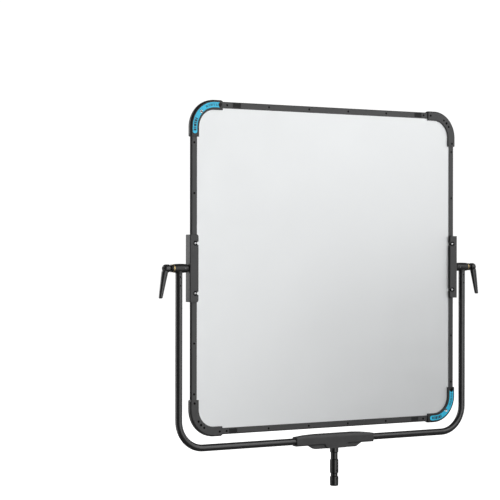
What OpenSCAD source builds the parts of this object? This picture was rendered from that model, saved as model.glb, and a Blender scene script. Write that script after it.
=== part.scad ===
// Light reflector panel in an aluminium frame, tilting in a U-shaped yoke on a 28 mm spigot.
// Millimetres, +Z up, -Y is the reflecting front, +X is to the right seen from the front.
// The origin is on the spigot's axis, at the shoulder where it meets the base casting.

/* [Frame] */
// Width and height of the frame over its corner castings
corner_outer = 1054; // [900:2:1200]
// Width of a corner casting, across the frame
corner_width = 31; // [26:0.5:34]
// Depth of a corner casting, front to back
corner_depth = 19; // [17:0.5:24]
// Outer radius of a corner casting
corner_radius = 88; // [70:1:100]
// Length of the straight leg at each end of a corner's arc
corner_leg = 29; // [20:1:60]
// Width and height of the frame over its rails
rail_outer = 1045; // [880:1:1180]
// Width of a rail
rail_width = 20.5; // [18:0.5:26]
// Depth of a rail, front to back
rail_depth = 12; // [10.5:0.5:16]
// Depth of the slot that holds the panel's edge
slot_depth = 7.5; // [5:0.5:9]
// Width of the groove along the rail's outer side
groove_width = 6; // [4:0.5:7]
// Thickness of the panel sandwich
panel_thick = 8; // [6:0.5:9]
// Thickness of the reflecting face and of the back skin
skin_thick = 1; // [0.6:0.1:1.5]

/* [Corner plates] */
// Width of the coloured plate let into two of the corners
plate_width = 16.5; // [12:0.5:20]
// Depth of the recess that holds the coloured plate
plate_recess = 1; // [0.6:0.1:1.5]
// Diameter of the large round screw at the plate's end
plate_screw_d = 13; // [10:0.5:16]

/* [Side brackets] */
// Height of the bracket that carries the pivot
bracket_height = 210; // [160:1:260]
// Depth of the bracket, front to back
bracket_depth = 28.5; // [24:0.5:36]
// Outer face of the bracket beyond the rail
bracket_out = 9.5; // [8:0.5:14]
// Distance of each bracket screw above or below the pivot
bracket_screw_z = 78; // [50:1:95]
// Diameter of the pocket around each bracket screw
notch_d = 15.5; // [12:0.5:18]

/* [Tilt heads and levers] */
// Diameter of the tilt head's barrel
barrel_d = 28.4; // [24:0.2:34]
// Length of the barrel
barrel_length = 50.7; // [40:0.1:56]
// Gap between parts that turn against each other
turn_gap = 0.3; // [0.2:0.05:0.6]
// Diameter of the pivot stud
stud_d = 12; // [10:0.5:14]
// Diametral clearance of the stud in its bush
stud_clearance = 0.12; // [0.04:0.02:0.18]
// Diameter of the brass bush's flange
bush_flange_d = 25; // [22:0.5:30]
// Thickness of the brass bush's flange
bush_flange_t = 4.2; // [3:0.1:8]
// Diameter of the lever's hub
hub_d = 25; // [22:0.5:30]

/* [Yoke] */
// Diameter of the yoke tube
tube_d = 22; // [19:0.5:26]
// Wall of the yoke tube
tube_wall = 2; // [1.5:0.25:3]
// Bend radius of the yoke tube, on its centre-line
tube_bend = 88; // [60:1:120]
// Distance from the middle of the yoke to each upright
arm_reach = 564; // [480:1:640]
// Height of the pivot above the horizontal tube
tube_drop = 561.2; // [480:0.2:640]

/* [Base and spigot] */
// Length of the base casting
base_length = 306; // [240:1:360]
// Depth of the base casting, front to back
base_depth = 28; // [26:0.5:34]
// How far the base casting reaches further to the left of the spigot than to the right
base_shift = 3; // [0:0.5:6]
// How far the spigot's axis is to the right of the yoke's middle
spigot_offset = 27.5; // [0:0.5:40]
// Diameter of the spigot
spigot_d = 28; // [27.5:0.1:28.5]
// Length of the spigot below the casting
spigot_length = 124.3; // [100:0.1:140]
// Diameter of the receiver bored up the spigot
receiver_d = 16.2; // [16.1:0.05:16.5]
// Depth of the receiver
receiver_depth = 62; // [45:1:75]

/* [Hidden] */
$fn = 48;
eps = 0.5;
rail_far = rail_outer / 2;
rail_near = rail_far - rail_width;
hr = rail_depth / 2;
hc = corner_depth / 2;
hp = panel_thick / 2;
hb = bracket_depth / 2;
arc = corner_outer / 2 - corner_radius;
arc_in = corner_radius - corner_width;
leg_end = arc - corner_leg;
screw_line = rail_near + rail_width / 2;
arc_mid = screw_line - arc;
panel_half = rail_near + slot_depth - 0.5;
panel_r = 90;
slot_r = panel_half - arc;
arc_screw = arc_mid - 3.25;
corner_screw = leg_end + 10;
plate_in = arc_mid - 0.45 - plate_width / 2;
plate_mid = plate_in + plate_width / 2;
web_out = rail_far + bracket_out;
barrel_x = web_out + turn_gap;
bush_x = barrel_x + barrel_length;
insert_x = bush_x + bush_flange_t + turn_gap;
neck_x = insert_x + 6.2;
hub_x = neck_x + 7;
hub_len = 21;
panel_x = -spigot_offset;
tube_z = 28;
pivot_z = tube_z + tube_drop;
rail_screw_long = [-392, -234, -78, 78, 234, 392];
rail_screw_side = [-392, -234, 234, 392];
pad_x = [-356, 368];

frame_grey = [0.32, 0.32, 0.33];
casting_black = [0.17, 0.17, 0.175];
plate_blue = [0.20, 0.71, 0.84];
mirror_white = [0.86, 0.87, 0.88];
foam_white = [0.78, 0.78, 0.74];
black_steel = [0.08, 0.08, 0.085];
bright_steel = [0.76, 0.77, 0.78];
brass_gold = [0.76, 0.58, 0.29];
lever_black = [0.12, 0.12, 0.125];
pad_black = [0.06, 0.06, 0.06];

// Placement. Panel parts are drawn around the pivot's middle, then moved to it.
module at_panel() { translate([panel_x, 0, pivot_z]) children(); }
module right_side() { at_panel() children(); }
module left_side() { at_panel() mirror([1, 0, 0]) children(); }
module turned(a) { at_panel() rotate([0, a, 0]) children(); }

// Primitives along an axis.
module x_cyl(x0, x1, d1, d2) {
  translate([x0, 0, 0]) rotate([0, 90, 0]) cylinder(h = x1 - x0, d1 = d1, d2 = d2);
}
module y_cyl(y0, y1, d1, d2) {
  translate([0, y0, 0]) rotate([-90, 0, 0]) cylinder(h = y1 - y0, d1 = d1, d2 = d2);
}
module box(x0, x1, y0, y1, z0, z1) {
  translate([x0, y0, z0]) cube([x1 - x0, y1 - y0, z1 - z0]);
}
// A flat outline in X and Z, drawn out from y0 to y1.
module xz_plate(y0, y1) {
  translate([0, y1, 0]) rotate([90, 0, 0]) linear_extrude(y1 - y0) children();
}
// A rectangle from x0 to x1, half-height h, with radius ra at x0 and rb at x1.
module bar_2d(x0, x1, h, ra, rb) {
  translate([x0 + ra, -h]) square([x1 - x0 - ra - rb, 2 * h]);
  translate([x0, -h + ra]) square([ra + eps, 2 * (h - ra)]);
  translate([x1 - rb - eps, -h + rb]) square([rb + eps, 2 * (h - rb)]);
  for (s = [-1, 1]) {
    translate([x0 + ra, s * (h - ra)]) circle(r = ra);
    translate([x1 - rb, s * (h - rb)]) circle(r = rb);
  }
}
// A rectangle with one radius all round, from low corner to high corner.
module pad_2d(x0, x1, y0, y1, r) {
  translate([x0 + r, y0]) square([x1 - x0 - 2 * r, y1 - y0]);
  translate([x0, y0 + r]) square([x1 - x0, y1 - y0 - 2 * r]);
  for (x = [x0 + r, x1 - r])
    for (y = [y0 + r, y1 - r])
      translate([x, y]) circle(r = r);
}

// Screws point into the part from the front (-Y) with their head's face at y = 0.
module flush_screw(d, head, length) {
  difference() {
    union() {
      y_cyl(0, (head - d) / 2, head, d);
      y_cyl((head - d) / 2, length, d, d);
    }
    translate([0, -eps, 0]) rotate([-90, 0, 0]) cylinder(h = 1.3 + eps, d = d * 0.6, $fn = 6);
  }
}
module flush_hole(d, head, length) {
  y_cyl(-eps, 0, head, head);
  y_cyl(0, (head - d) / 2, head, d);
  y_cyl((head - d) / 2, length, d, d);
}
module cap_screw(d, head, head_t, length, socket) {
  difference() {
    union() {
      y_cyl(0, head_t, head, head);
      y_cyl(head_t, length, d, d);
    }
    translate([0, -eps, 0]) rotate([-90, 0, 0]) cylinder(h = head_t * 0.6 + eps, d = socket, $fn = 6);
  }
}

// Panel sandwich.
module sheet(y0, y1) {
  xz_plate(y0, y1) pad_2d(-panel_half, panel_half, -panel_half, panel_half, panel_r);
}
module reflector_face() {
  color(mirror_white) at_panel() sheet(-hp, -hp + skin_thick);
}
module panel_core() {
  color(foam_white) at_panel() sheet(-hp + skin_thick, hp - skin_thick);
}
module back_skin() {
  color(frame_grey) at_panel() sheet(hp - skin_thick, hp);
}

// Rails: extrusions with a slot for the panel, and a chamber that a groove opens outwards.
module rail_2d() {
  difference() {
    bar_2d(rail_near, rail_far, hr, 1, 4);
    translate([rail_near - eps, -hp]) square([slot_depth + eps, 2 * hp]);
    translate([rail_near + slot_depth + 1.5, -hp]) square([rail_width - slot_depth - 3.5, 2 * hp]);
    translate([rail_far - 3, -groove_width / 2]) square([4, groove_width]);
  }
}
// The profile is drawn with X as the distance from the panel's middle and Y towards the front.
module along_top(x0, x1) {
  translate([x0, 0, 0]) rotate([180, -90, 0]) linear_extrude(x1 - x0) children();
}
module rail(screws, ends, pads) {
  difference() {
    along_top(-arc, arc) rail_2d();
    for (x = screws)
      translate([x, -hr, screw_line]) flush_hole(4, 7, rail_depth + eps);
    for (x = ends)
      translate([x, -hr - eps, screw_line]) y_cyl(0, rail_depth + 2 * eps, 4.5, 4.5);
    for (x = pads)
      box(x - 15, x + 15, -hr - eps, -hp + 0.001, screw_line - 7.25, screw_line + 7.25);
  }
}
module rail_top() {
  color(frame_grey) turned(0) rail(rail_screw_long, [-corner_screw, corner_screw], pad_x);
}
module rail_bottom() {
  color(frame_grey) turned(180) rail(rail_screw_long, [corner_screw], pad_x);
}
module side_rail(ends) {
  difference() {
    rail(rail_screw_side, ends, []);
    for (x = [-bracket_screw_z, bracket_screw_z])
      translate([x, -hr - eps, screw_line]) y_cyl(0, rail_depth + 2 * eps, 5.5, 5.5);
  }
}
module rail_right() {
  color(frame_grey) turned(90) side_rail([-corner_screw, corner_screw]);
}
module rail_left() {
  color(frame_grey) turned(270) side_rail([-corner_screw]);
}
module rail_screws() {
  color(black_steel) {
    for (a = [0, 180])
      for (x = rail_screw_long)
        turned(a) translate([x, -hr, screw_line]) flush_screw(4, 7, rail_depth - 0.5);
    for (a = [90, 270])
      for (x = rail_screw_side)
        turned(a) translate([x, -hr, screw_line]) flush_screw(4, 7, rail_depth - 0.5);
  }
}
// Ribbed pads let into the top and bottom rails.
module rail_pad() {
  box(-15, 15, -hr + 0.8, -hp, -7.25, 7.25);
  for (i = [-3 : 3])
    box(i * 4.2 - 1.2, i * 4.2 + 1.2, -hr + 0.1, -hr + 0.8, -6.75, 6.75);
}
module rail_pads() {
  color(pad_black)
    for (a = [0, 180])
      for (x = pad_x)
        turned(a) translate([x, 0, screw_line]) rail_pad();
}

// Corners: each is a front and a back half that meet on the panel's mid-plane.
module corner_2d() {
  ro = 6;
  ri = 2.5;
  difference() {
    union() {
      translate([arc_in + ri, 0]) square([corner_width - ri - ro, hc]);
      translate([arc_in, 0]) square([ri + eps, hc - ri]);
      translate([corner_radius - ro - eps, 0]) square([ro + eps, hc - ro]);
      translate([arc_in + ri, hc - ri]) circle(r = ri);
      translate([corner_radius - ro, hc - ro]) circle(r = ro);
    }
    translate([arc_in - 1, -ro]) square([corner_width + 2, ro]);
    translate([arc_in - eps, -eps]) square([slot_r - arc_in + eps, hp + eps]);
  }
}
module corner_solid() {
  translate([arc, 0, arc]) {
    rotate([90, 0, 0]) rotate_extrude(angle = 90, $fn = 96) corner_2d();
    translate([-corner_leg, 0, 0]) rotate([180, -90, 0]) linear_extrude(corner_leg) corner_2d();
    rotate([180, 0, 0]) linear_extrude(corner_leg) corner_2d();
  }
}
// What both legs lose to the rails and at their ends.
module leg_cuts() {
  box(leg_end - eps, arc, -hr, eps, rail_near, rail_far);
  far = corner_outer / 2;
  xz_plate(-hc - 1, 1)
    polygon([[leg_end - 1, rail_far], [leg_end, rail_far],
             [leg_end + far - rail_far, far], [leg_end + far - rail_far, far + 1],
             [leg_end - 1, far + 1]]);
}
module both_legs() {
  children();
  mirror([1, 0, -1]) children();
}
module at_leg_screw() { translate([corner_screw, 0, screw_line]) children(); }
module at_arc_screw(a) {
  translate([arc, 0, arc]) rotate([0, -a, 0]) translate([arc_screw, 0, 0]) children();
}
module plain_front() {
  difference() {
    corner_solid();
    both_legs() leg_cuts();
    both_legs() translate([0, -hc, 0]) at_leg_screw() flush_hole(4.5, 7.5, corner_depth);
    translate([0, -hc, 0]) {
      at_arc_screw(45) flush_hole(4.5, 8.5, corner_depth);
      at_arc_screw(33) flush_hole(4, 7.5, corner_depth);
      at_arc_screw(57) flush_hole(4, 7.5, corner_depth);
    }
  }
}
module plain_back() {
  difference() {
    mirror([0, 1, 0]) corner_solid();
    both_legs() mirror([0, 1, 0]) leg_cuts();
    both_legs() at_leg_screw() y_cyl(-eps, 7, 4.5, 4.5);
    at_arc_screw(45) y_cyl(-eps, 7, 4.5, 4.5);
    at_arc_screw(33) y_cyl(-eps, 7, 4, 4);
    at_arc_screw(57) y_cyl(-eps, 7, 4, 4);
  }
}
module plain_screws() {
  translate([0, -hc, 0]) {
    both_legs() at_leg_screw() flush_screw(4.5, 7.5, hc + 7);
    at_arc_screw(45) flush_screw(4.5, 8.5, hc + 7);
    at_arc_screw(33) flush_screw(4, 7.5, hc + 7);
    at_arc_screw(57) flush_screw(4, 7.5, hc + 7);
  }
}
// The plate's outline follows the arc. Its round end is on the side leg of this view,
// and its open end stops at the large screw on the upper leg.
module plate_2d(grow) {
  difference() {
    intersection() {
      circle(r = plate_in + plate_width + grow, $fn = 96);
      translate([0, 0]) square([200, 200]);
    }
    circle(r = plate_in - grow, $fn = 96);
  }
  translate([plate_in - grow, arc_round]) square([plate_width + 2 * grow, -arc_round + eps]);
  translate([plate_mid, arc_round]) circle(r = plate_width / 2 + grow);
  translate([arc_open, plate_in - grow]) square([-arc_open + eps, plate_width + 2 * grow]);
}
arc_round = leg_end + 17.5 - arc;
arc_open = corner_screw + 2 - arc;
module plate_shape(y0, y1, grow) {
  translate([arc, 0, arc]) xz_plate(y0, y1) plate_2d(grow);
}
module plate_front() {
  difference() {
    corner_solid();
    both_legs() leg_cuts();
    plate_shape(-hc - eps, -hc + plate_recess, 0);
    at_leg_screw() y_cyl(-hc - eps, -hc + 2.5, plate_screw_d, plate_screw_d);
    at_leg_screw() y_cyl(-hc, eps, 4.5, 4.5);
    translate([0, -hc + plate_recess, 0]) at_arc_screw(45) flush_hole(4.5, 8.5, corner_depth);
  }
}
module plate_back() {
  difference() {
    mirror([0, 1, 0]) corner_solid();
    both_legs() mirror([0, 1, 0]) leg_cuts();
    at_leg_screw() y_cyl(-eps, 7, 4.5, 4.5);
    at_arc_screw(45) y_cyl(-eps, 7, 4.5, 4.5);
  }
}
module corner_plate() {
  difference() {
    plate_shape(-hc + 0.15, -hc + plate_recess, 0);
    at_leg_screw() y_cyl(-hc - eps, 0, plate_screw_d + 0.4, plate_screw_d + 0.4);
    at_arc_screw(45) y_cyl(-hc - eps, 0, 9, 9);
  }
}
module plate_screw() {
  translate([0, -hc + 0.1, 0]) at_leg_screw() cap_screw(4.5, plate_screw_d, 2.4, hc + 6.9, 5);
}
module plate_arc_screw() {
  translate([0, -hc + plate_recess, 0]) at_arc_screw(45) flush_screw(4.5, 8.5, hc + 6);
}
// Quarter turns place a corner. The top left one is also flipped across its diagonal.
module tr() { turned(0) children(); }
module br() { turned(90) children(); }
module bl() { turned(180) children(); }
module tl() { turned(270) mirror([1, 0, -1]) children(); }
module corner_front_tr() { color(casting_black) tr() plain_front(); }
module corner_back_tr() { color(casting_black) tr() plain_back(); }
module corner_front_bl() { color(casting_black) bl() plain_front(); }
module corner_back_bl() { color(casting_black) bl() plain_back(); }
module corner_front_br() { color(casting_black) br() plate_front(); }
module corner_back_br() { color(casting_black) br() plate_back(); }
module corner_front_tl() { color(casting_black) tl() plate_front(); }
module corner_back_tl() { color(casting_black) tl() plate_back(); }
module plate_top_left() { color(plate_blue) tl() corner_plate(); }
module plate_bottom_right() { color(plate_blue) br() corner_plate(); }
module plate_screws() {
  color(black_steel) {
    tl() plate_screw();
    br() plate_screw();
  }
}
module corner_screws() {
  color(black_steel) {
    tr() plain_screws();
    bl() plain_screws();
    tl() plate_arc_screw();
    br() plate_arc_screw();
  }
}

// Side brackets: a channel round the rail, with two open notches for its screws.
module bracket() {
  hz = bracket_height / 2;
  difference() {
    intersection() {
      translate([0, 0, -hz]) linear_extrude(bracket_height) bar_2d(rail_near, web_out, hb, 1.5, 3);
      xz_plate(-hb - 1, hb + 1) pad_2d(rail_near, web_out + 12, -hz, hz, 7);
      rotate([90, 0, 90]) linear_extrude(web_out + 1) pad_2d(-hb - 12, hb, -hz, hz, 6);
    }
    box(rail_near - eps, rail_far, -hr, hr, -hz - 1, hz + 1);
    for (z = [-bracket_screw_z, bracket_screw_z]) translate([screw_line, 0, z]) {
      y_cyl(-hb - eps, -hb + 4, notch_d, notch_d);
      box(-rail_width, 0, -hb - eps, -hb + 4, -5.25, 5.25);
      y_cyl(-hb, -hr + eps, 6, 6);
      box(-rail_width, 0, -hb, -hr + 0.001, -3, 3);
      y_cyl(hr - eps, hb - 2, 5, 5);
    }
    rotate([0, 90, 0]) translate([0, 0, rail_far - eps]) cylinder(h = 4 + eps, d = 26, $fn = 6);
    x_cyl(rail_far, web_out + 1, stud_d + 0.2, stud_d + 0.2);
  }
}
module bracket_right() { color(frame_grey) right_side() bracket(); }
module bracket_left() { color(frame_grey) left_side() bracket(); }
module bracket_screws() {
  color(bright_steel)
    for (s = [0, 1])
      for (z = [-bracket_screw_z, bracket_screw_z])
        at_panel() mirror([s, 0, 0]) translate([screw_line, -hb + 0.5, z]) cap_screw(5, 9.5, 3.5, 23.5, 4.6);
}
// Pivot studs: a hexagonal head held in the bracket, a bearing length and a thread for the lever.
module stud() {
  rotate([0, 90, 0]) translate([0, 0, rail_far]) cylinder(h = 4, d = 26, $fn = 6);
  x_cyl(rail_far + 3, insert_x - turn_gap, stud_d, stud_d);
  x_cyl(insert_x - 1, insert_x + 10.7, 8, 8);
}
module stud_right() { color(bright_steel) right_side() stud(); }
module stud_left() { color(bright_steel) left_side() stud(); }

// Tilt heads: a barrel with a stem that plugs into the top of the yoke tube.
tube_in = tube_d - 2 * tube_wall;
tube_top = -18;
head_screw_z = [-27, -54];
// The barrel swells a little in its middle and is rounded where it meets the bracket.
nose_r = 7;
function barrel_r(t) = barrel_d / 2 - 1.2 * pow(2 * t - 1.1, 2);
function nose_point(a) = [barrel_r(0.13) - nose_r * (1 - cos(a)), nose_r * (1 - sin(a))];
module barrel_blank() {
  nose = [for (a = [75 : -15 : 0]) nose_point(a)];
  side = [for (t = [0.25, 0.4, 0.55, 0.7, 0.85, 1]) [barrel_r(t), t * barrel_length]];
  rotate([0, 90, 0]) translate([0, 0, barrel_x]) rotate_extrude()
    polygon(concat([[0, 0], [barrel_r(0.13) - nose_r, 0]], nose, side, [[0, barrel_length]]));
}
module on_arm() { translate([arm_reach, 0, 0]) children(); }
module head() {
  difference() {
    union() {
      barrel_blank();
      on_arm() translate([0, 0, tube_top]) cylinder(h = -tube_top, d = tube_d);
      on_arm() translate([0, 0, tube_top - 50]) cylinder(h = 51, d = tube_in);
    }
    x_cyl(barrel_x - 1, bush_x + 1, 18, 18);
    translate([barrel_x + 16, 0, 0]) y_cyl(-barrel_d / 2 - 1, -8, 4, 4);
    for (z = head_screw_z)
      on_arm() translate([0, 0, z]) y_cyl(-tube_in / 2 - 1, -3, 5, 5);
  }
}
module head_right() { color(casting_black) right_side() head(); }
module head_left() { color(casting_black) left_side() head(); }
module bush() {
  difference() {
    union() {
      x_cyl(barrel_x, bush_x, 18, 18);
      x_cyl(bush_x, bush_x + bush_flange_t, bush_flange_d, bush_flange_d);
    }
    x_cyl(barrel_x - 1, bush_x + bush_flange_t + 1, stud_d + stud_clearance, stud_d + stud_clearance);
  }
}
module bush_right() { color(brass_gold) right_side() bush(); }
module bush_left() { color(brass_gold) left_side() bush(); }
module grub(d, y0, y1) {
  difference() {
    y_cyl(y0, y1, d, d);
    translate([0, y0 - 1, 0]) rotate([-90, 0, 0]) cylinder(h = 2.5, d = d * 0.5, $fn = 6);
  }
}
module bush_screws() {
  color(bright_steel)
    for (s = [0, 1])
      at_panel() mirror([s, 0, 0]) translate([barrel_x + 16, 0, 0]) grub(4, -13.6, -9.05);
}
module head_screws() {
  color(black_steel)
    for (s = [0, 1])
      for (z = head_screw_z)
        at_panel() mirror([s, 0, 0]) on_arm() translate([0, 0, z]) grub(5, -tube_d / 2 + 0.1, -3);
}

// Yoke arms: a bent tube from the head down to the base casting.
bend_z = tube_bend - tube_drop;
bend_x = arm_reach - tube_bend;
module tube_run(d, x_in) {
  on_arm() translate([0, 0, bend_z]) cylinder(h = tube_top - bend_z, d = d);
  translate([bend_x, 0, bend_z]) rotate([90, 0, 0]) rotate([0, 0, 270])
    rotate_extrude(angle = 90, $fn = 96) translate([tube_bend, 0]) circle(d = d);
  translate([0, 0, -tube_drop]) x_cyl(x_in, bend_x, d, d);
}
module arm(x_in, screws) {
  difference() {
    tube_run(tube_d, x_in);
    tube_run(tube_in, x_in - 1);
    on_arm() translate([0, 0, tube_top - 1]) cylinder(h = 2, d = tube_in);
    for (z = head_screw_z)
      on_arm() translate([0, 0, z]) y_cyl(-tube_d / 2 - 1, 0, 5, 5);
    for (x = screws)
      translate([x, 0, -tube_drop]) y_cyl(-tube_d, tube_d, 5, 5);
  }
}
inner_end = 40;
lock_x = [60, 125];
module arm_right() {
  color(frame_grey) right_side() arm(spigot_offset + inner_end, [for (x = lock_x) x + spigot_offset]);
}
module arm_left() {
  color(frame_grey) left_side() arm(inner_end - spigot_offset, [for (x = lock_x) x - spigot_offset]);
}

// Base casting, split on the yoke's plane, with the spigot's stem held between its halves.
base_under = 15.5;
keel_under = 28;
base_low_top = 10;
base_top = 20.5;
// The crown's outline from end to end, and its section, whose sides lean inwards near the top.
module crown_outline(hl) {
  side = [[hl + 1, -5], [hl + 1, 13.6], [115, 18.05], [75, 20.55], [50, 22]];
  polygon(concat(side, [for (i = [4 : -1 : 0]) [-side[i][0], side[i][1]]]));
}
module crown_2d(hd) {
  edge = [[hd, -20], [hd, -13], [hd - 0.5, -9.5], [hd - 1.5, -6], [hd - 3, -3.2], [hd - 5, -1.2], [hd - 8, 0]];
  polygon(concat(edge, [for (i = [6 : -1 : 0]) [-edge[i][0], edge[i][1]]]));
}
module base_solid() {
  hl = base_length / 2;
  hd = base_depth / 2;
  translate([0, 0, tube_z]) {
    translate([-base_shift, 0, 0]) {
      translate([-hl, 0, 0]) rotate([90, 0, 90]) linear_extrude(base_length)
        pad_2d(-hd, hd, -base_under, base_low_top, 5);
      intersection() {
        translate([-hl, 0, base_top]) rotate([90, 0, 90]) linear_extrude(base_length) crown_2d(hd);
        xz_plate(-hd - 1, hd + 1) crown_outline(hl);
      }
    }
    xz_plate(-9, 9) polygon([[-110, -12], [110, -12], [81, -keel_under], [-81, -keel_under]]);
    xz_plate(-hd, hd) polygon([[-47, -10], [47, -10], [47, -12], [36, -keel_under],
                               [-36, -keel_under], [-47, -12]]);
  }
}
stem_d = 18;
collar_d = 24;
base_top_screws = [-25, 25];
keel_screws = [-62, 62];
module base_cuts() {
  translate([0, 0, tube_z]) {
    for (s = [0, 1]) mirror([s, 0, 0]) x_cyl(inner_end, base_length / 2 + base_shift + 1, tube_d, tube_d);
  }
  translate([0, 0, -1]) cylinder(h = 37, d = stem_d);
  translate([0, 0, 8]) cylinder(h = 5, d = collar_d);
}
// Screws here go in from the rear, so they are drawn turned half round.
module from_rear(x, z) {
  translate([x, base_depth / 2, tube_z + z]) rotate([0, 0, 180]) children();
}
module keel_rear(x) {
  translate([x, 9, tube_z - 20]) rotate([0, 0, 180]) children();
}
module base_screw_holes() {
  for (x = base_top_screws) from_rear(x, 6) flush_hole(4, 7.5, 25);
  for (x = keel_screws) keel_rear(x) flush_hole(4, 7.5, 16);
  for (s = [-1, 1]) for (x = lock_x) from_rear(s * x, 0) flush_hole(5, 9, 26);
}
module base_front() {
  color(casting_black) difference() {
    intersection() {
      base_solid();
      box(-200, 200, -30, 0, -1, 60);
    }
    base_cuts();
    base_screw_holes();
  }
}
module base_rear() {
  color(casting_black) difference() {
    intersection() {
      base_solid();
      box(-200, 200, 0, 30, -1, 60);
    }
    base_cuts();
    base_screw_holes();
  }
}
module base_screws() {
  color(black_steel) {
    for (x = base_top_screws) from_rear(x, 6) flush_screw(4, 7.5, 25);
    for (x = keel_screws) keel_rear(x) flush_screw(4, 7.5, 16);
  }
}
module arm_screws() {
  color(black_steel)
    for (s = [-1, 1]) for (x = lock_x) from_rear(s * x, 0) flush_screw(5, 9, 26);
}

// Spigot: two reduced necks for the clamp, and a receiver bored up from its tip.
module turned_z(points) { rotate_extrude() polygon(concat([[0, points[0][1]]], points, [[0, points[len(points) - 1][1]]])); }
module spigot() {
  r = spigot_d / 2;
  tip = -spigot_length;
  color(bright_steel) difference() {
    union() {
      turned_z([[r, 0], [r, -13.5], [11.5, -16.5], [11.5, -36.5], [r, -39.5],
                [r, -81.5], [11.2, -84.5], [11.2, -92], [r, -95], [r, tip + 3], [r - 2.2, tip]]);
      translate([0, 0, -1]) cylinder(h = 37, d = stem_d);
      translate([0, 0, 8]) cylinder(h = 5, d = collar_d);
    }
    translate([0, 0, tip - 1]) cylinder(h = receiver_depth + 1, d = receiver_d);
    for (z = [-74, -102]) translate([0, 0, z]) y_cyl(-spigot_d, 0, 5, 5);
  }
}

// Clamping levers: a threaded insert, a handle that lifts off its drive, a screw and a spring.
drive_x = neck_x + 11;
drive_end = drive_x + 3.8;
module lever_insert() {
  difference() {
    union() {
      x_cyl(insert_x, neck_x, 24, 24);
      x_cyl(neck_x - 1, drive_x, 15.5, 15.5);
      translate([drive_x - 0.5, 0, 0]) rotate([0, 90, 0]) cylinder(h = 4.3, d = 16, $fn = 12);
    }
    x_cyl(insert_x - 1, insert_x + 11, 8.1, 8.1);
    x_cyl(insert_x + 12.5, drive_end + 1, 4, 4);
  }
}
screw_face = hub_x + hub_len - 1;
module lever_screw() {
  difference() {
    union() {
      x_cyl(insert_x + 12.5, screw_face - 3, 4, 4);
      x_cyl(screw_face - 4, screw_face, 10.4, 10.4);
    }
    translate([screw_face - 2.4, 0, 0]) rotate([0, 90, 0]) cylinder(h = 3, d = 3.6, $fn = 6);
  }
}
shelf_x = drive_end + 0.5;
module lever_spring() {
  first = shelf_x + 1.7 + 0.9;
  last = screw_face - 4 - 0.9;
  pitch = (last - first) / 3;
  for (i = [0 : 3])
    translate([first + i * pitch, 0, 0]) rotate([0, 90, 0]) rotate_extrude()
      translate([4.3, 0]) circle(d = 1, $fn = 16);
  for (i = [0 : 2])
    rotate([i * 120, 0, 0]) translate([0, 0, 4.3]) x_cyl(first + i * pitch, first + (i + 1) * pitch, 0.8, 0.8);
}
// The handle's arm runs down and slightly outwards from its hub.
arm_tilt = atan2(16, 88);
module lever_handle() {
  difference() {
    union() {
      rotate([0, 90, 0]) translate([0, 0, hub_x]) rotate_extrude() {
        square([hub_d / 2 - 1, hub_len]);
        translate([0, 1]) square([hub_d / 2, hub_len - 7]);
        translate([hub_d / 2 - 1, 1]) circle(r = 1);
        translate([hub_d / 2 - 6, hub_len - 6]) circle(r = 6);
      }
      translate([hub_x + 12.5, 0, -3]) rotate([0, 180 - arm_tilt, 0]) cylinder(h = 90, d1 = 22, d2 = 12.5);
      translate([hub_x + 12.5, 0, -3]) sphere(d = 21);
    }
    x_cyl(hub_x - 1, drive_x + 0.2, 17.4, 17.4);
    translate([drive_x, 0, 0]) rotate([0, 90, 0]) cylinder(h = 4.3, d = 17, $fn = 12);
    x_cyl(shelf_x - 1, hub_x + hub_len + 1, 7, 7);
    x_cyl(shelf_x + 1.7, hub_x + hub_len + 1, 11.4, 11.4);
  }
}
module lever_insert_right() { color(black_steel) right_side() lever_insert(); }
module lever_insert_left() { color(black_steel) left_side() lever_insert(); }
module lever_screw_right() { color(black_steel) right_side() lever_screw(); }
module lever_screw_left() { color(black_steel) left_side() lever_screw(); }
module lever_spring_right() { color(bright_steel) right_side() lever_spring(); }
module lever_spring_left() { color(bright_steel) left_side() lever_spring(); }
module lever_handle_right() { color(lever_black) right_side() lever_handle(); }
module lever_handle_left() { color(lever_black) left_side() lever_handle(); }

reflector_face();
panel_core();
back_skin();
rail_top();
rail_right();
rail_bottom();
rail_left();
rail_screws();
rail_pads();
corner_front_tr();
corner_back_tr();
corner_front_br();
corner_back_br();
corner_front_bl();
corner_back_bl();
corner_front_tl();
corner_back_tl();
plate_top_left();
plate_bottom_right();
plate_screws();
corner_screws();
bracket_left();
bracket_right();
bracket_screws();
stud_left();
stud_right();
head_left();
head_right();
bush_left();
bush_right();
bush_screws();
head_screws();
arm_left();
arm_right();
base_front();
base_rear();
base_screws();
arm_screws();
spigot();
lever_insert_left();
lever_screw_left();
lever_spring_left();
lever_handle_left();
lever_insert_right();
lever_screw_right();
lever_spring_right();
lever_handle_right();
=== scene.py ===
import math

import bmesh
import bpy
from mathutils import Matrix, Vector


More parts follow.
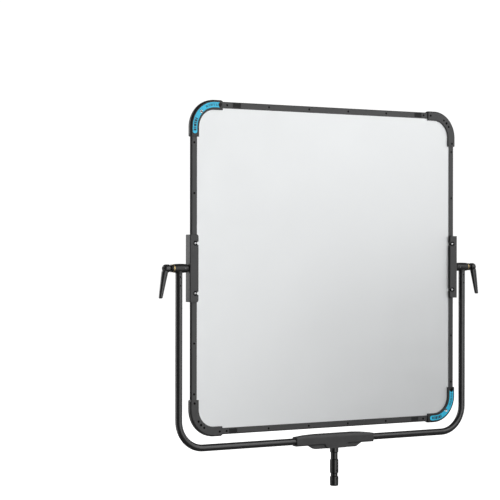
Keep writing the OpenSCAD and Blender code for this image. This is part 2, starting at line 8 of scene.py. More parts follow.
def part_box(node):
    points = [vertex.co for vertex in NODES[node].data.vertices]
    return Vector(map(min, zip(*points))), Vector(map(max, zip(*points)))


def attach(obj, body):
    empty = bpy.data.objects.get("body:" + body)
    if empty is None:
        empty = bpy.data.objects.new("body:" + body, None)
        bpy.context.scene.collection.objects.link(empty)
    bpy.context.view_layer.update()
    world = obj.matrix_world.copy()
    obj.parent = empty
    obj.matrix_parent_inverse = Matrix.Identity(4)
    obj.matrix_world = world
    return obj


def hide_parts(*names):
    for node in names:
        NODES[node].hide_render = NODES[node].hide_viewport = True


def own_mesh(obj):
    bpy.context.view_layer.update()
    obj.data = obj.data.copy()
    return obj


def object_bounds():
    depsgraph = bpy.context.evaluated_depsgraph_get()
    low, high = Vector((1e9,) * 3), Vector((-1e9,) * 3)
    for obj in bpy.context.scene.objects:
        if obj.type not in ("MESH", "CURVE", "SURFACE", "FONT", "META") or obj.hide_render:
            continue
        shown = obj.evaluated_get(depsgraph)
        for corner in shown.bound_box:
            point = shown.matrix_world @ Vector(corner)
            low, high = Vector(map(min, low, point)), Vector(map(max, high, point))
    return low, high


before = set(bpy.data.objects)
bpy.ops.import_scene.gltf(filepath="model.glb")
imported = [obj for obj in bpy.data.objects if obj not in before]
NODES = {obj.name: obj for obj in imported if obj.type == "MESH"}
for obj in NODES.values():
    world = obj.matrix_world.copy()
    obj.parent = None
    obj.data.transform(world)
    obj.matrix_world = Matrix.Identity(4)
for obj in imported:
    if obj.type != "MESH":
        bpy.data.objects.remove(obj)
cad_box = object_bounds()
SIDES = {"left": -1, "right": 1}

# ---------------------------------------------------------------- camera

CAMERA_YAW = 32.924
CAMERA_PITCH = -0.0544
CAMERA_ROLL = 0.0788
CAMERA_AT = (-3.4709, -4.8516, 0.6517)
CAMERA_LENS = 131.12


def make_camera():
    """A view that looks along +Y, turned by the yaw, pitch and roll in degrees."""
    data = bpy.data.cameras.new("camera")
    data.lens = CAMERA_LENS
    data.sensor_width = 36
    data.clip_end = 100
    camera = bpy.data.objects.new("camera", data)
    camera.location = CAMERA_AT
    turn = Matrix.Rotation(math.radians(-CAMERA_YAW), 3, "Z")
    turn @= Matrix.Rotation(math.radians(90 + CAMERA_PITCH), 3, "X")
    turn @= Matrix.Rotation(math.radians(CAMERA_ROLL), 3, "Z")
    camera.rotation_euler = turn.to_euler()
    bpy.context.scene.collection.objects.link(camera)
    bpy.context.scene.camera = camera


make_camera()

# ---------------------------------------------------------------- materials


class Shader:
    """A Principled material and short ways to add nodes to it."""

    def __init__(self, name, metallic=0.0, specular=0.5):
        self.material = bpy.data.materials.new(name)
        self.material.use_nodes = True
        self.tree = self.material.node_tree
        self.bsdf = self.tree.nodes["Principled BSDF"]
        self.set(self.bsdf, {"Metallic": metallic, "Specular IOR Level": specular})
        self.coords = self.node("ShaderNodeTexCoord").outputs["Object"]
        self.normal = None

    def set(self, node, values):
        for key, value in values.items():
            node.inputs[key].default_value = value

    def node(self, kind, values=None, **settings):
        made = self.tree.nodes.new(kind)
        for key, value in settings.items():
            setattr(made, key, value)
        self.set(made, values or {})
        return made

    def link(self, out, into):
        self.tree.links.new(out, into)

    def math(self, operation, a, b=0.0, clamp=False):
        made = self.node("ShaderNodeMath", operation=operation, use_clamp=clamp)
        for i, value in enumerate((a, b)):
            if isinstance(value, (int, float)):
                made.inputs[i].default_value = value
            else:
                self.link(value, made.inputs[i])
        return made.outputs[0]

    def noise(self, scale, detail=2.0, stretch=(1, 1, 1), roughness=0.5):
        place = self.node("ShaderNodeMapping", {"Scale": stretch})
        self.link(self.coords, place.inputs["Vector"])
        made = self.node("ShaderNodeTexNoise",
                         {"Scale": scale, "Detail": detail, "Roughness": roughness})
        self.link(place.outputs[0], made.inputs["Vector"])
        return made.outputs["Fac"]

    def remap(self, value, low, high, to_low=0.0, to_high=1.0):
        made = self.node("ShaderNodeMapRange", {"From Min": low, "From Max": high,
                                                "To Min": to_low, "To Max": to_high})
        self.link(value, made.inputs["Value"])
        return made.outputs[0]

    def mix(self, factor, a, b):
        made = self.node("ShaderNodeMix", data_type="RGBA")
        self.link(factor, made.inputs["Factor"])
        for key, value in (("A", a), ("B", b)):
            socket = [one for one in made.inputs if one.name == key and one.type == "RGBA"][0]
            if isinstance(value, tuple):
                socket.default_value = (*value, 1)
            else:
                self.link(value, socket)
        return [one for one in made.outputs if one.type == "RGBA"][0]

    def bump(self, height, strength, distance):
        made = self.node("ShaderNodeBump", {"Strength": strength, "Distance": distance})
        self.link(height, made.inputs["Height"])
        if self.normal:
            self.link(self.normal, made.inputs["Normal"])
        self.normal = made.outputs[0]

    def soft_edges(self, radius):
        """Rounds edges in the shading and returns a mask that is 1 along them."""
        bevel = self.node("ShaderNodeBevel", {"Radius": radius}, samples=6)
        flat = self.node("ShaderNodeNewGeometry").outputs["Normal"]
        dot = self.node("ShaderNodeVectorMath", operation="DOT_PRODUCT")
        self.link(bevel.outputs[0], dot.inputs[0])
        self.link(flat, dot.inputs[1])
        self.normal = bevel.outputs[0]
        return self.remap(dot.outputs["Value"], 0.995, 0.85)

    def finish(self, color, roughness):
        self.link(color, self.bsdf.inputs["Base Color"])
        self.link(roughness, self.bsdf.inputs["Roughness"])
        self.link(self.normal, self.bsdf.inputs["Normal"])
        return self.material


COATED_EDGE = 0.0006
FINE_EDGE = 0.0004


def shade(color, factor):
    return tuple(min(1.0, c * factor) for c in color)


def coated(name, color, roughness, specular=0.5, metallic=0.0, wear=0.35, grain=2600, bump=0.12):
    """Powder coat or paint on metal: fine grain, faint mottling and slightly paler edges."""
    look = Shader(name, metallic, specular)
    edges = look.soft_edges(COATED_EDGE)
    mottle = look.noise(35, 3)
    fine = look.noise(grain, 2)
    tone = look.mix(look.remap(mottle, 0.3, 0.7), shade(color, 0.88), shade(color, 1.12))
    scuffs = look.noise(240, 4, roughness=0.7)
    worn = look.math("MULTIPLY", edges, look.remap(scuffs, 0.45, 0.62), clamp=True)
    tone = look.mix(look.math("MULTIPLY", worn, wear), tone, shade(color, 2.6))
    rough = look.remap(fine, 0.3, 0.7, roughness - 0.06, roughness + 0.06)
    look.bump(fine, bump, 0.0002)
    return look.finish(tone, rough)


def extruded(name, color, roughness, stretch, specular=0.5):
    """Anodised extrusion: fine die lines along its length, and a painted highlight along its edges."""
    look = Shader(name, specular=specular)
    edges = look.soft_edges(COATED_EDGE)
    lines = look.noise(700, 3, stretch)
    mottle = look.noise(18, 3)
    tone = look.mix(look.remap(mottle, 0.3, 0.7), shade(color, 0.92), shade(color, 1.08))
    tone = look.mix(look.math("MULTIPLY", look.remap(lines, 0.4, 0.65), 0.25), tone, shade(color, 1.3))
    # Painted highlight: the edges are made paler, as if they caught the light.
    tone = look.mix(look.math("MULTIPLY", edges, 0.3), tone, shade(color, 1.9))
    rough = look.remap(lines, 0.3, 0.7, roughness - 0.07, roughness + 0.07)
    look.bump(lines, 0.1, 0.0001)
    look.bump(look.noise(3500, 2), 0.06, 0.0001)
    return look.finish(tone, rough)


def turned(name, color, roughness, metallic, axis, specular=0.5):
    """Turned metal: tool rings round an axis, given by its letter, and a painted highlight along its
    edges.
    """
    look = Shader(name, metallic, specular)
    edges = look.soft_edges(FINE_EDGE)
    stretch = tuple(1.0 if letter == axis else 0.02 for letter in "XYZ")
    rings = look.noise(3200, 2, stretch)
    mottle = look.noise(60, 3)
    tone = look.mix(look.remap(mottle, 0.3, 0.7), shade(color, 0.88), shade(color, 1.08))
    # Painted highlight: the edges are made paler, as if they caught the light.
    tone = look.mix(look.math("MULTIPLY", edges, 0.35), tone, shade(color, 1.5))
    rough = look.remap(rings, 0.3, 0.7, roughness - 0.08, roughness + 0.1)
    look.bump(rings, 0.25, 0.0001)
    return look.finish(tone, rough)


def reflecting():
    """The reflecting sheet: satin silver with a very fine pebble and faint handling marks."""
    color = (0.80, 0.815, 0.82)
    look = Shader("reflector_sheet", metallic=0.55)
    pebble = look.noise(1400, 2)
    cloud = look.noise(3.5, 2)
    tone = look.mix(look.remap(cloud, 0.3, 0.7), shade(color, 0.985), shade(color, 1.01))
    marks = look.noise(14, 5, roughness=0.65)
    rough = look.remap(marks, 0.3, 0.75, 0.40, 0.47)
    look.bump(pebble, 0.05, 0.0001)
    return look.finish(tone, rough)


def plastic(name, color, roughness):
    """Moulded plastic, or print: a fine pebble and faint mottling."""
    look = Shader(name)
    look.soft_edges(FINE_EDGE)
    fine = look.noise(1800, 3)
    tone = look.mix(look.remap(look.noise(50, 3), 0.3, 0.7), shade(color, 0.85), shade(color, 1.15))
    look.bump(fine, 0.2, 0.0002)
    return look.finish(tone, look.remap(fine, 0.3, 0.7, roughness - 0.05, roughness + 0.08))


GREY = (0.045, 0.045, 0.0456)
BLACK = (0.014, 0.014, 0.0143)
MATERIALS = {
    "reflector": reflecting(),
    "rail_x": extruded("rail_along_x", GREY, 0.42, (0.01, 1, 1), specular=0.52),
    "rail_z": extruded("rail_along_z", GREY, 0.42, (1, 1, 0.01), specular=0.52),
    "tube": coated("tube_coat", (0.012, 0.012, 0.0125), 0.3, specular=0.85, grain=3200),
    "casting": coated("casting_coat", BLACK, 0.42, specular=0.55, bump=0.2),
    "bracket": coated("bracket_coat", GREY, 0.45, specular=0.52),
    "plate": coated("blue_plate", (0.046, 0.60, 0.89), 0.38, metallic=0.25, wear=0.15),
    "black_steel": turned("black_steel", (0.003, 0.003, 0.0031), 0.35, 0.0, "Y", specular=0.06),
    "bright_steel": turned("bright_steel", (0.78, 0.78, 0.79), 0.3, 1.0, "Y"),
    "stud_steel": turned("stud_steel", (0.25, 0.25, 0.26), 0.35, 1.0, "X"),
    "insert_steel": turned("insert_steel", (0.015, 0.015, 0.015), 0.35, 0.3, "X"),
    "brass": turned("brass_bush", (0.52, 0.39, 0.19), 0.34, 1.0, "X"),
    "spigot": turned("spigot_finish", (0.005, 0.005, 0.0051), 0.2, 0.0, "Z", specular=0.65),
    "pad": plastic("ribbed_pad", (0.01, 0.01, 0.01), 0.6),
    "lever": coated("lever_coat", (0.012, 0.012, 0.0125), 0.3, specular=0.8, bump=0.2, wear=0.5),
    "eyelet": turned("eyelet_metal", (0.95, 0.95, 0.96), 0.16, 1.0, "Y"),
    "black_gloss": coated("black_gloss", (0.004, 0.004, 0.0041), 0.15, specular=0.25, wear=0.2,
                          bump=0.02),
    "print": plastic("plate_print", (0.006, 0.04, 0.07), 0.45),
    "core": plastic("panel_core", (0.7, 0.7, 0.66), 0.7),
}

# The nodes that stay as the CAD has them. The replaced ones aren't listed.
WEARS = {
    "reflector_face": "reflector", "panel_core": "core", "back_skin": "bracket",
    "rail_top": "rail_x", "rail_bottom": "rail_x", "rail_left": "rail_z", "rail_right": "rail_z",
    "rail_screws": "black_steel", "rail_pads": "pad",
    "plate_top_left": "plate", "plate_bottom_right": "plate", "bush_screws": "stud_steel",
    "head_screws": "black_steel", "arm_screws": "black_steel", "base_screws": "black_steel",
    "base_front": "bracket", "base_rear": "bracket", "spigot": "spigot",
}
for corner in ("tr", "br", "bl", "tl"):
    WEARS["corner_front_" + corner] = "casting" if corner in ("tl", "br") else "bracket"
    WEARS["corner_back_" + corner] = "bracket"
for side in SIDES:
    WEARS["bracket_" + side] = "bracket"
    WEARS["stud_" + side] = "stud_steel"
    WEARS["head_" + side] = "casting"
    WEARS["bush_" + side] = "brass"
    WEARS["arm_" + side] = "tube"
    WEARS["lever_insert_" + side] = "insert_steel"
    WEARS["lever_screw_" + side] = "black_steel"


def paint(piece, key):
    piece.data.materials.clear()
    piece.data.materials.append(MATERIALS[key])


for name, key in WEARS.items():
    paint(NODES[name], key)

# ---------------------------------------------------------------- turned and lofted parts

HEX = "hexagon"
WELD = 1e-7
SHARP_DEGREES = 28


def mesh_object(name, vertices, faces, material, smooth=False):
    """A mesh with its faces turned outwards. A smooth one keeps its sharp edges."""
    mesh = bpy.data.meshes.new(name)
    mesh.from_pydata(vertices, [], faces)
    mesh.validate()
    edited = bmesh.new()
    edited.from_mesh(mesh)
    bmesh.ops.remove_doubles(edited, verts=edited.verts, dist=WELD)
    bmesh.ops.recalc_face_normals(edited, faces=edited.faces)
    edited.to_mesh(mesh)
    edited.free()
    piece = bpy.data.objects.new(name, mesh)
    bpy.context.scene.collection.objects.link(piece)
    if smooth:
        mesh.shade_smooth()
        mesh.set_sharp_from_angle(angle=math.radians(SHARP_DEGREES))
    mesh.materials.append(material)
    return piece


def ring_faces(first, second, count):
    """Quads between two rings of count vertices that start at first and second."""
    return [(first + i, first + (i + 1) % count, second + (i + 1) % count, second + i)
            for i in range(count)]


def hexagon(radius, angle):
    """Distance from the middle of a hexagon to its side, for its inner radius and a direction."""
    step = math.pi / 3
    return radius / math.cos((angle + step / 2) % step - step / 2)


def lathe(vertices, faces, profile, place, count=48):
    """Turns a profile into rings. A point is (along, radius), or (along, radius, HEX) where the
    ring is a hexagon, and a radius of 0 closes the end."""
    rings = []
    for along, radius, *kind in profile:
        rings.append(len(vertices))
        if radius == 0:
            vertices.append(place(along, 0, 0))
            continue
        for i in range(count):
            angle = 2 * math.pi * i / count
            reach = hexagon(radius, angle) if HEX in kind else radius
            vertices.append(place(along, reach * math.cos(angle), reach * math.sin(angle)))
    for (first, a), (second, b) in zip(zip(rings, profile), zip(rings[1:], profile[1:])):
        if a[1] == 0:
            faces.extend((first, second + (i + 1) % count, second + i) for i in range(count))
        elif b[1] == 0:
            faces.extend((first + i, first + (i + 1) % count, second) for i in range(count))
        else:
            faces.extend(ring_faces(first, second, count))


# ---------------------------------------------------------------- marks on the corner plates

# A plate is a quarter ring with a straight length at each end.
PLATE_MIDDLE = 0.0728
PLATE_WIDTH = 0.0165
PLATE_OUTER = PLATE_MIDDLE + PLATE_WIDTH / 2
ARC_LENGTH = PLATE_MIDDLE * math.pi / 2
# Marks are (start, length) along the plate's middle line, in rows of (inner, outer) across it.
MARK_BARS = ((-0.0105, 0.006), (-0.002, 0.003), (0.003, 0.0075),
             (0.0125, 0.004), (0.0185, 0.006), (0.0265, 0.0035))
MARK_DASHES = ((0.080, 0.008), (0.090, 0.005), (0.097, 0.010), (0.109, 0.006), (0.117, 0.007))
BAR_ROWS = ((-0.0046, 0.0046),)
DASH_ROWS = ((-0.0026, -0.0008), (0.0010, 0.0028))
MARK_RAISED = 0.00006
MARK_SUNK = 0.00002
MARK_STEP = 0.001


def along_plate(distance, across):
    """A point on a plate's middle line, from the arc's centre, with an offset outwards."""
    if distance < 0:
        return (PLATE_MIDDLE + across, distance)
    if distance > ARC_LENGTH:
        return (ARC_LENGTH - distance, PLATE_MIDDLE + across)
    angle = distance / PLATE_MIDDLE
    reach = PLATE_MIDDLE + across
    return (reach * math.cos(angle), reach * math.sin(angle))


def add_strip(vertices, faces, place, start, length, low, high, front, back):
    """A thin curved slab that follows the plate from start to start + length."""
    steps = round(length / MARK_STEP)
    first = len(vertices)
    for i in range(steps + 1):
        distance = start + length * i / steps
        for across, y in ((low, front), (high, front), (high, back), (low, back)):
            x, z = place(*along_plate(distance, across))
            vertices.append((x, y, z))
    for i in range(steps):
        for k in range(4):
            a = first + 4 * i + k
            b = first + 4 * i + (k + 1) % 4
            faces.append((a, b, b + 4, a + 4))
    faces.append(tuple(first + k for k in (3, 2, 1, 0)))
    faces.append(tuple(first + 4 * steps + k for k in (0, 1, 2, 3)))


def make_marks(name, node, place_from):
    """Plain bars and dashes, printed on a plate in place of its lettering."""
    low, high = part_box(node)
    place = place_from(low, high)
    front = low[1] - MARK_RAISED
    back = low[1] + MARK_SUNK
    for kind, marks, rows in (("bars", MARK_BARS, BAR_ROWS), ("dashes", MARK_DASHES, DASH_ROWS)):
        vertices, faces = [], []
        for start, length in marks:
            for row in rows:
                add_strip(vertices, faces, place, start, length, *row, front, back)
        piece = mesh_object(f"{name}_{kind}", vertices, faces, MATERIALS["print"])
        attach(piece, "panel")


def place_top_left(low, high):
    """Takes a point of along_plate to the frame's x and z, from the box of the top left plate."""
    centre_x = low[0] + PLATE_OUTER
    centre_z = high[2] - PLATE_OUTER
    return lambda u, w: (centre_x - u, centre_z + w)


def place_bottom_right(low, high):
    """The same for the bottom right plate."""
    centre_x = high[0] - PLATE_OUTER
    centre_z = low[2] + PLATE_OUTER
    return lambda u, w: (centre_x + w, centre_z - u)


make_marks("marks_top_left", "plate_top_left", place_top_left)
make_marks("marks_bottom_right", "plate_bottom_right", place_bottom_right)

# ---------------------------------------------------------------- screws, eyelets, and black rings as painted shade

# A corner's outer radius. From its centre: the line of the leg screws and their distance past the
# end of the arc, and the radius of the arc's screws.
CORNER_RADIUS = 0.088
SCREW_LINE = 0.07325
LEG_SCREW = 0.019
ARC_SCREW = 0.070
# Head radius and shaft radius of the legs' screws, and the same for the arc's at their degrees.
LEG_SIZE = (0.00375, 0.00225)
ARC_SIZES = {33: (0.00375, 0.002), 45: (0.00425, 0.00225), 57: (0.00375, 0.002)}
CORNER_SCREW_LENGTH = 0.0165
BRACKET_SCREW_REACH = 0.00475
# Profiles turned round Y: the depth behind the front, and the radius.
EYELET = ((-0.00002, 0.0044), (0.00052, 0.0028), (0.0008, 0.0028),
          (0.0008, 0.0044), (-0.00002, 0.0044))
EYELET_RIM = ((-0.00013, 0.0051), (-0.00013, 0.0044), (0.00002, 0.0044),
              (0.00002, 0.0053), (-0.00008, 0.0053), (-0.00013, 0.0051))
EYELET_PLUG = ((0.00055, 0.0), (0.00055, 0.0027), (0.0008, 0.0027),
               (0.0008, 0.0022), (0.014, 0.0022), (0.014, 0.0))
BIG_SCREW = ((0.0165, 0.0), (0.0165, 0.00225), (0.0024, 0.00225),
             (0.0024, 0.0064), (0.0007, 0.0065), (0.0003, 0.0061),
             (0.0001, 0.0052), (0.0, 0.0040), (0.0, 0.0027),
             (0.0003, 0.00245, HEX), (0.0016, 0.00245, HEX), (0.0018, 0.0))
BRACKET_SCREW = ((0.0235, 0.0), (0.0235, 0.0025), (0.0030, 0.0025),
                 (0.0030, 0.0040), (0.0022, 0.0040), (0.0014, 0.0038),
                 (0.0007, 0.0032), (0.0002, 0.0024), (0.0, 0.0015),
                 (0.0003, 0.0012, HEX), (0.0014, 0.0012, HEX), (0.0016, 0.0))
# A black ring on the floor of a notch's pocket: painted shade.
POCKET_SHADE_RING = ((0.0030, 0.0026), (0.0030, 0.0072), (0.00345, 0.0072),
          (0.00345, 0.0026), (0.0030, 0.0026))


def flush_profile(head, shaft):
    """A corner's countersunk screw with a hexagonal socket, from its two radii."""
    gap = 0.0001
    chamfer = 0.0003
    socket_floor = 0.0016
    rim = head - gap
    socket = 0.55 * head
    return ((CORNER_SCREW_LENGTH, 0.0), (CORNER_SCREW_LENGTH, shaft), (gap + rim - shaft, shaft),
            (gap, rim), (0.0, rim - 2 * gap), (0.0, socket + chamfer),
            (chamfer, socket, HEX), (socket_floor, socket, HEX), (socket_floor + 2 * gap, 0.0))


def turned_set(name, parts, material):
    """One mesh of turned parts, each given as (profile, x, front, z)."""
    vertices, faces = [], []
    for profile, x, front, z in parts:
        lathe(vertices, faces, profile, lambda along, u, w: (x + u, front + along, z + w))
    piece = mesh_object(name, vertices, faces, MATERIALS[material], smooth=True)
    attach(piece, "panel")
    return piece


def make_plate_hardware():
    """Each blue plate's eyelet and big screw. Returns the eyelets' plugs, for the screws' mesh."""
    big, eyelets, rims, plugs = [], [], [], []
    for side, place_from in (("top_left", place_top_left), ("bottom_right", place_bottom_right)):
        low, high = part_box("plate_" + side)
        place = place_from(low, high)
        x, z = place(*along_plate(ARC_LENGTH / 2, ARC_SCREW - PLATE_MIDDLE))
        eyelets.append((EYELET, x, low[1], z))
        rims.append((EYELET_RIM, x, low[1], z))
        plugs.append((EYELET_PLUG, x, low[1], z))
        x, z = place(*along_plate(ARC_LENGTH + LEG_SCREW, SCREW_LINE - PLATE_MIDDLE))
        big.append((BIG_SCREW, x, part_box("plate_screws")[0][1], z))
    turned_set("eyelets", eyelets, "eyelet")
    turned_set("eyelet_rims", rims, "black_gloss")
    piece = turned_set("plate_screw_pair", big, "black_gloss")
    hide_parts("plate_screws")
    return plugs


def plain_corner_screws():
    """The five screws in each corner that has no blue plate."""
    parts = []
    for corner, right, top in (("tr", 1, 1), ("bl", -1, -1)):
        low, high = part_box("corner_front_" + corner)
        centre_x = high[0] - CORNER_RADIUS if right > 0 else low[0] + CORNER_RADIUS
        centre_z = high[2] - CORNER_RADIUS if top > 0 else low[2] + CORNER_RADIUS
        leg = flush_profile(*LEG_SIZE)
        spots = [(leg, -LEG_SCREW, SCREW_LINE), (leg, SCREW_LINE, -LEG_SCREW)]
        for degrees, size in ARC_SIZES.items():
            u = ARC_SCREW * math.cos(math.radians(degrees))
            w = ARC_SCREW * math.sin(math.radians(degrees))
            spots.append((flush_profile(*size), u, w))
        parts += [(profile, centre_x + right * u, low[1], centre_z + top * w)
                  for profile, u, w in spots]
    return parts


def make_corner_screws(plugs):
    """The plain corners' screws and the eyelets' plugs, in one mesh like the CAD's."""
    piece = turned_set("corner_screw_set", plain_corner_screws() + plugs, "black_steel")
    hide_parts("corner_screws")


def make_bracket_screws():
    """The bright screws in the brackets' notches, and under each a black ring that paints the shade on
    the pocket's floor.
    """
    low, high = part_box("bracket_screws")
    columns = (low[0] + BRACKET_SCREW_REACH, high[0] - BRACKET_SCREW_REACH)
    rows = (low[2] + BRACKET_SCREW_REACH, high[2] - BRACKET_SCREW_REACH)
    spots = [(x, z) for x in columns for z in rows]
    piece = turned_set("bracket_screw_set", [(BRACKET_SCREW, x, low[1], z) for x, z in spots],
                       "bright_steel")
    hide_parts("bracket_screws")
    turned_set("bracket_pocket_shade", [(POCKET_SHADE_RING, x, low[1], z) for x, z in spots], "black_steel")


make_corner_screws(make_plate_hardware())
make_bracket_screws()

# ---------------------------------------------------------------- painted shade: dark strips on the brackets

STRIP_ROUND = 0.007
STRIP_GAP = 0.0001
NOTCH_OPENING = 0.0053
# Points of (distance out of the bracket, depth behind its front); None is the depth of what is
# under the strip there.
STRIP_SECTION = ((0.0, 0.0012), (0.0005, 0.0006), (0.0011, 0.0012), (0.0011, None), (0.0, None))


def add_sweep(vertices, faces, rings):
    """Joins equal rings of points into a closed bar."""
    first = len(vertices)
    count = len(rings[0])
    for ring in rings:
        vertices.extend(ring)
    for i in range(len(rings) - 1):
        faces.extend(ring_faces(first + i * count, first + (i + 1) * count, count))
    faces.append(tuple(range(first, first + count)))
    faces.append(tuple(range(len(vertices) - count, len(vertices))))


def make_bracket_shade_strip(side, sign):
    """A black strip down a bracket's inner side, painted shade where that wall is in shadow; it is
    open where the notches cross it.
    """
    low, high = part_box("bracket_" + side)
    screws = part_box("bracket_screws")
    edge = low[0] if sign > 0 else high[0]
    front = low[1]
    middle = (low[2] + high[2]) / 2
    half = (high[2] - low[2]) / 2
    notch = (screws[1][2] - screws[0][2]) / 2 - BRACKET_SCREW_REACH
    on_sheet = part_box("reflector_face")[0][1] - front - STRIP_GAP
    on_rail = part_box("rail_" + side)[0][1] - front - STRIP_GAP
    # Each path is a list of points (u, z) on the bracket's edge with the way out there (nu, nz).
    between = [(0.0, z, 1.0, 0.0) for z in (NOTCH_OPENING - notch, notch - NOTCH_OPENING)]
    above = [(0.0, z, 1.0, 0.0) for z in (notch + NOTCH_OPENING, half - STRIP_ROUND)]
    for degrees in range(10, 81, 10):
        nu = math.cos(math.radians(degrees))
        nz = math.sin(math.radians(degrees))
        above.append((STRIP_ROUND * (nu - 1), half + STRIP_ROUND * (nz - 1), nu, nz))
    below = [(u, -z, nu, -nz) for u, z, nu, nz in above]
    vertices, faces = [], []
    for path, deep in ((between, on_sheet), (above, on_rail), (below, on_rail)):
        rings = []
        for u, z, nu, nz in path:
            rings.append([(edge - sign * (u + nu * out), front + (deep if depth is None else depth),
                           middle + z + nz * out) for out, depth in STRIP_SECTION])
        add_sweep(vertices, faces, rings)
    piece = mesh_object("bracket_shade_strip_" + side, vertices, faces, MATERIALS["pad"])
    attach(piece, "panel")


for side, sign in SIDES.items():
    make_bracket_shade_strip(side, sign)

# ---------------------------------------------------------------- clamping levers

HUB_RADIUS = 0.0125
DOME_RADIUS = 0.010
# The hub's profile, from its inner face outwards and back through its stepped bore.
HUB = [(0.0, 0.0087), (0.0, 0.0114), (0.0009, HUB_RADIUS), (0.0105, HUB_RADIUS)]
HUB += [(0.011 + DOME_RADIUS * math.sin(math.radians(degrees)),
         0.0025 + DOME_RADIUS * math.cos(math.radians(degrees))) for degrees in range(10, 71, 10)]
HUB += [(0.0208, 0.0057), (0.0100, 0.0057), (0.0100, 0.0035), (0.0083, 0.0035),
        (0.0083, 0.0085), (0.0042, 0.0085), (0.0042, 0.0087), (0.0, 0.0087)]
# Slices of the arm: the height from the hub's axis, the inner and outer edge from the hub's
# inner face, and half the depth.
ARM = ((-0.0060, 0.0104, 0.0207, 0.0072), (-0.0070, 0.0099, 0.0220, 0.0086),
       (-0.0088, 0.0040, 0.0232, 0.0092), (-0.0112, 0.0033, 0.0242, 0.0094),
       (-0.0150, 0.0039, 0.0248, 0.0089), (-0.0200, 0.0052, 0.0256, 0.0088),
       (-0.0300, 0.0077, 0.0270, 0.0083), (-0.0450, 0.0113, 0.0289, 0.0075),
       (-0.0600, 0.0149, 0.0309, 0.0068), (-0.0750, 0.0185, 0.0328, 0.0060),
       (-0.0880, 0.0218, 0.0343, 0.0054), (-0.0905, 0.0225, 0.0345, 0.0052),
       (-0.0918, 0.0236, 0.0337, 0.0044), (-0.0925, 0.0252, 0.0322, 0.0030))
HUB_SIDES = 64
ARM_SIDES = 40
ARM_POWER = 2.3


def superellipse(angle, power):
    """A point of an outline between a circle, at power 2, and a square."""
    cosine = math.cos(angle)
    sine = math.sin(angle)
    scale = (abs(cosine) ** power + abs(sine) ** power) ** (-1 / power)
    return scale * cosine, scale * sine


def make_lever(side, sign):
    """The lever's hub, turned round the pivot's axis, and its flattened arm."""
    low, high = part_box("lever_handle_" + side)
    x = low[0] if sign > 0 else high[0]
    y = (low[1] + high[1]) / 2
    z = high[2] - HUB_RADIUS
    vertices, faces = [], []
    lathe(vertices, faces, HUB, lambda along, u, w: (x + sign * along, y + u, z + w), HUB_SIDES)
    rings = []
    for height, inner, outer, half in ARM:
        rings.append(len(vertices))
        for i in range(ARM_SIDES):
            u, w = superellipse(2 * math.pi * i / ARM_SIDES, ARM_POWER)
            middle = (inner + outer) / 2 + u * (outer - inner) / 2
            vertices.append((x + sign * middle, y + w * half, z + height))
    for first, second in zip(rings, rings[1:]):
        faces.extend(ring_faces(first, second, ARM_SIDES))
    faces.append(tuple(range(rings[0], rings[0] + ARM_SIDES)))
    faces.append(tuple(reversed(range(rings[-1], rings[-1] + ARM_SIDES))))
    piece = mesh_object("lever_" + side + "_shaped", vertices, faces, MATERIALS["lever"], smooth=True)
    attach(piece, "lever_" + side)
    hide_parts("lever_handle_" + side)


SPRING_RADIUS = 0.0043
SPRING_WIRE = 0.0005
SPRING_TURNS = 3
TURN_STEPS = 28
WIRE_SIDES = 10


def make_spring(side):
    """The coil spring under the lever's screw. Lifting the lever presses it towards the screw."""
    low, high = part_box("lever_spring_" + side)
    y = (low[1] + high[1]) / 2
    z = (low[2] + high[2]) / 2
    length = high[0] - low[0] - 2 * SPRING_WIRE
    vertices, faces, rings = [], [], []
    steps = TURN_STEPS * SPRING_TURNS
    for i in range(steps + 1):
        turn = 2 * math.pi * SPRING_TURNS * i / steps
        x = low[0] + SPRING_WIRE + length * i / steps
        ring = []
        for k in range(WIRE_SIDES):
            angle = 2 * math.pi * k / WIRE_SIDES
            reach = SPRING_RADIUS + SPRING_WIRE * math.cos(angle)
            ring.append((x + SPRING_WIRE * math.sin(angle),
                         y + reach * math.cos(turn), z + reach * math.sin(turn)))
        rings.append(ring)
    add_sweep(vertices, faces, rings)
    piece = mesh_object("spring_" + side, vertices, faces, MATERIALS["bright_steel"], smooth=True)
    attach(piece, "lever_core_" + side)
    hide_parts("lever_spring_" + side)
    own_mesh(piece)


for side, sign in SIDES.items():
    make_lever(side, sign)
    make_spring(side)

# ---------------------------------------------------------------- studio

FILL = 0.13
BACKDROP = 1.05
FLOOR_GAP = 0.002
FLOOR_REACH = 15


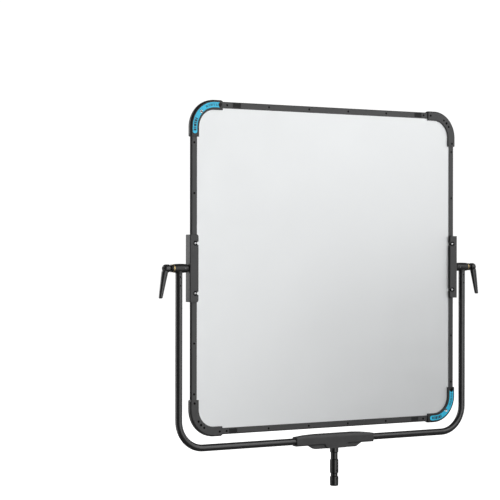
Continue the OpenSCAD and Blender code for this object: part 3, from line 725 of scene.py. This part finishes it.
def make_world():
    """White to the camera, and a dim even fill to everything else."""
    world = bpy.data.worlds.new("studio")
    bpy.context.scene.world = world
    world.use_nodes = True
    tree = world.node_tree
    tree.nodes.clear()
    out = tree.nodes.new("ShaderNodeOutputWorld")
    background = tree.nodes.new("ShaderNodeBackground")
    background.inputs["Color"].default_value = (1, 1, 1, 1)
    path = tree.nodes.new("ShaderNodeLightPath")
    level = tree.nodes.new("ShaderNodeMapRange")
    level.inputs["To Min"].default_value = FILL
    level.inputs["To Max"].default_value = BACKDROP
    tree.links.new(path.outputs["Is Camera Ray"], level.inputs["Value"])
    tree.links.new(level.outputs[0], background.inputs["Strength"])
    tree.links.new(background.outputs[0], out.inputs["Surface"])


def area_light(name, at, toward, size, radiance):
    """A soft rectangle of light that the camera doesn't see."""
    data = bpy.data.lights.new(name, "AREA")
    data.shape = "RECTANGLE"
    data.size, data.size_y = size
    data.energy = radiance * math.pi * size[0] * size[1]
    light = bpy.data.objects.new(name, data)
    light.location = at
    light.rotation_euler = (Vector(toward) - Vector(at)).to_track_quat("-Z", "Y").to_euler()
    light.visible_camera = False
    bpy.context.scene.collection.objects.link(light)


def make_lights():
    """Soft panels in front, above, at the right and behind, and a card beside the left arm."""
    centre = (0, 0, 0.6)
    area_light("key", (1.1, -2.4, 1.4), centre, (3.1, 1.7), 1.5)
    area_light("key_low", (0.2, -2.4, 0.0), centre, (2.1, 1.4), 1.6)
    area_light("key_top", (1.3, -2.2, 2.6), centre, (3.2, 1.0), 1.7)
    area_light("right", (3.3, -1.0, 0.7), centre, (1.2, 2.4), 1.8)
    area_light("back", (-1.3, 2.7, 1.3), centre, (2.4, 1.9), 1.9)
    area_light("left_card", (-0.98, 0.3, 0.4), (-0.6, 0, 0.4), (0.45, 1.3), 1.3)


def make_floor():
    """A plain pale floor. It is only seen by the camera, so it doesn't change the light."""
    pale = bpy.data.materials.new("pale_floor")
    pale.use_nodes = True
    surface = pale.node_tree.nodes["Principled BSDF"]
    surface.inputs["Base Color"].default_value = (0.9, 0.9, 0.9, 1)
    surface.inputs["Roughness"].default_value = 0.9
    surface.inputs["Emission Color"].default_value = (1, 1, 1, 1)
    surface.inputs["Emission Strength"].default_value = 1.0
    level = cad_box[0][2] - FLOOR_GAP
    corners = [(x * FLOOR_REACH, y * FLOOR_REACH, level)
               for x, y in ((-1, -1), (1, -1), (1, 1), (-1, 1))]
    floor = mesh_object("floor", corners, [(0, 1, 2, 3)], pale)
    floor.visible_shadow = False
    floor.visible_diffuse = False
    floor.visible_glossy = False


make_world()
make_lights()
make_floor()
bpy.context.scene.view_settings.view_transform = "Standard"
